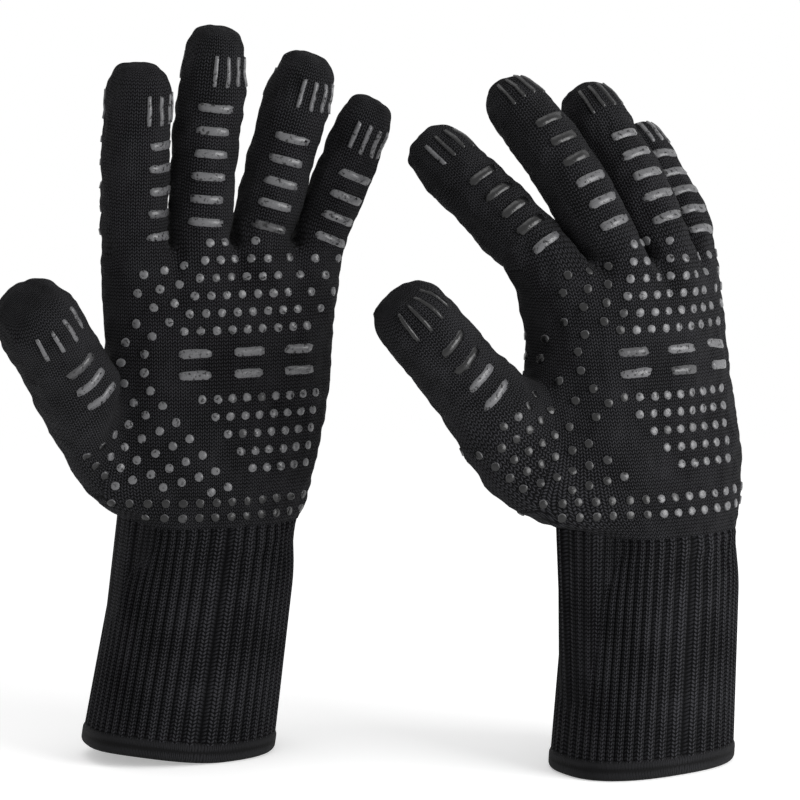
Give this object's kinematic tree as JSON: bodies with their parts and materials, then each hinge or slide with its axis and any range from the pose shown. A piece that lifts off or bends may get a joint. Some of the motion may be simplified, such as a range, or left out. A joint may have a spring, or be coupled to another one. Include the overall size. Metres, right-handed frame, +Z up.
{
  "type": "heat resistant glove",
  "caption": "Pair of black knitted heat resistant gloves with silicone grip prints, hinged fingers, cotton liners and long rib cuffs, standing on their bound hems.",
  "frame": {"origin": "on the floor under the middle of the pair", "axes": "+Z up along the fingers, -Y towards the viewer of the picture, +X from the open glove to the curled one"},
  "size_m": [0.3184, 0.1487, 0.3199],
  "materials": {
    "black_knit": "matte knit",
    "black_rib_knit": "matte rib knit",
    "black_binding": "matte woven binding",
    "grey_cotton": "matte cotton jersey"
  },
  "bodies": {
    "gloves": {"left_hand_shell": "black_knit", "left_hand_liner": "grey_cotton", "left_rib_cuff": "black_rib_knit", "left_bound_hem": "black_binding", "left_thumb_knuckle_band": "black_knit", "left_index_knuckle_band": "black_knit", "left_middle_knuckle_band": "black_knit", "left_ring_knuckle_band": "black_knit", "left_little_knuckle_band": "black_knit", "right_hand_shell": "black_knit", "right_hand_liner": "grey_cotton", "right_rib_cuff": "black_rib_knit", "right_bound_hem": "black_binding", "right_thumb_knuckle_band": "black_knit", "right_index_knuckle_band": "black_knit", "right_middle_knuckle_band": "black_knit", "right_ring_knuckle_band": "black_knit", "right_little_knuckle_band": "black_knit"},
    "left_thumb_finger": {"left_thumb_stall": "black_knit", "left_thumb_liner": "grey_cotton"},
    "left_index_finger": {"left_index_stall": "black_knit", "left_index_liner": "grey_cotton"},
    "left_middle_finger": {"left_middle_stall": "black_knit", "left_middle_liner": "grey_cotton"},
    "left_ring_finger": {"left_ring_stall": "black_knit", "left_ring_liner": "grey_cotton"},
    "left_little_finger": {"left_little_stall": "black_knit", "left_little_liner": "grey_cotton"},
    "right_thumb_finger": {"right_thumb_stall": "black_knit", "right_thumb_liner": "grey_cotton"},
    "right_index_finger": {"right_index_stall": "black_knit", "right_index_liner": "grey_cotton"},
    "right_middle_finger": {"right_middle_stall": "black_knit", "right_middle_liner": "grey_cotton"},
    "right_ring_finger": {"right_ring_stall": "black_knit", "right_ring_liner": "grey_cotton"},
    "right_little_finger": {"right_little_stall": "black_knit", "right_little_liner": "grey_cotton"}
  },
  "joints": [
    {"name": "left_thumb_knuckle", "type": "hinge", "parent": "gloves", "child": "left_thumb_finger", "pos_m": [-0.1262, -0.02831, 0.16376], "axis": [0.7744, 0.2819, 0.5664], "range_deg": [-10, 40], "deforming": ["left_thumb_knuckle_band"]},
    {"name": "left_index_knuckle", "type": "hinge", "parent": "gloves", "child": "left_index_finger", "pos_m": [-0.10562, 0.00027, 0.23382], "axis": [0.9945, 0.1045, 0], "range_deg": [-10, 75], "deforming": ["left_index_knuckle_band"]},
    {"name": "left_middle_knuckle", "type": "hinge", "parent": "gloves", "child": "left_middle_finger", "pos_m": [-0.07798, 0.01053, 0.2338], "axis": [0.9945, 0.1045, 0], "range_deg": [-10, 75], "deforming": ["left_middle_knuckle_band"]},
    {"name": "left_ring_knuckle", "type": "hinge", "parent": "gloves", "child": "left_ring_finger", "pos_m": [-0.04989, 0.02074, 0.23353], "axis": [0.9945, 0.1045, 0], "range_deg": [-10, 75], "deforming": ["left_ring_knuckle_band"]},
    {"name": "left_little_knuckle", "type": "hinge", "parent": "gloves", "child": "left_little_finger", "pos_m": [-0.02364, 0.0301, 0.23317], "axis": [0.9945, 0.1045, 0], "range_deg": [-10, 75], "deforming": ["left_little_knuckle_band"]},
    {"name": "right_thumb_knuckle", "type": "hinge", "parent": "gloves", "child": "right_thumb_finger", "pos_m": [0.04519, -0.03442, 0.16179], "axis": [-0.6233, -0.4047, -0.6691], "range_deg": [-10, 40], "deforming": ["right_thumb_knuckle_band"]},
    {"name": "right_index_knuckle", "type": "hinge", "parent": "gloves", "child": "right_index_finger", "pos_m": [0.06567, -0.00998, 0.22583], "axis": [-0.6895, -0.5724, -0.4438], "range_deg": [-30, 40], "deforming": ["right_index_knuckle_band"]},
    {"name": "right_middle_knuckle", "type": "hinge", "parent": "gloves", "child": "right_middle_finger", "pos_m": [0.09838, -0.00633, 0.22781], "axis": [-0.7825, -0.5498, -0.2922], "range_deg": [-30, 40], "deforming": ["right_middle_knuckle_band"]},
    {"name": "right_ring_knuckle", "type": "hinge", "parent": "gloves", "child": "right_ring_finger", "pos_m": [0.12209, 0.01087, 0.22777], "axis": [-0.8418, -0.505, -0.1907], "range_deg": [-30, 40], "deforming": ["right_ring_knuckle_band"]},
    {"name": "right_little_knuckle", "type": "hinge", "parent": "gloves", "child": "right_little_finger", "pos_m": [0.13791, 0.03773, 0.22682], "axis": [-0.889, -0.4527, -0.0694], "range_deg": [-30, 40], "deforming": ["right_little_knuckle_band"]}
  ]
}
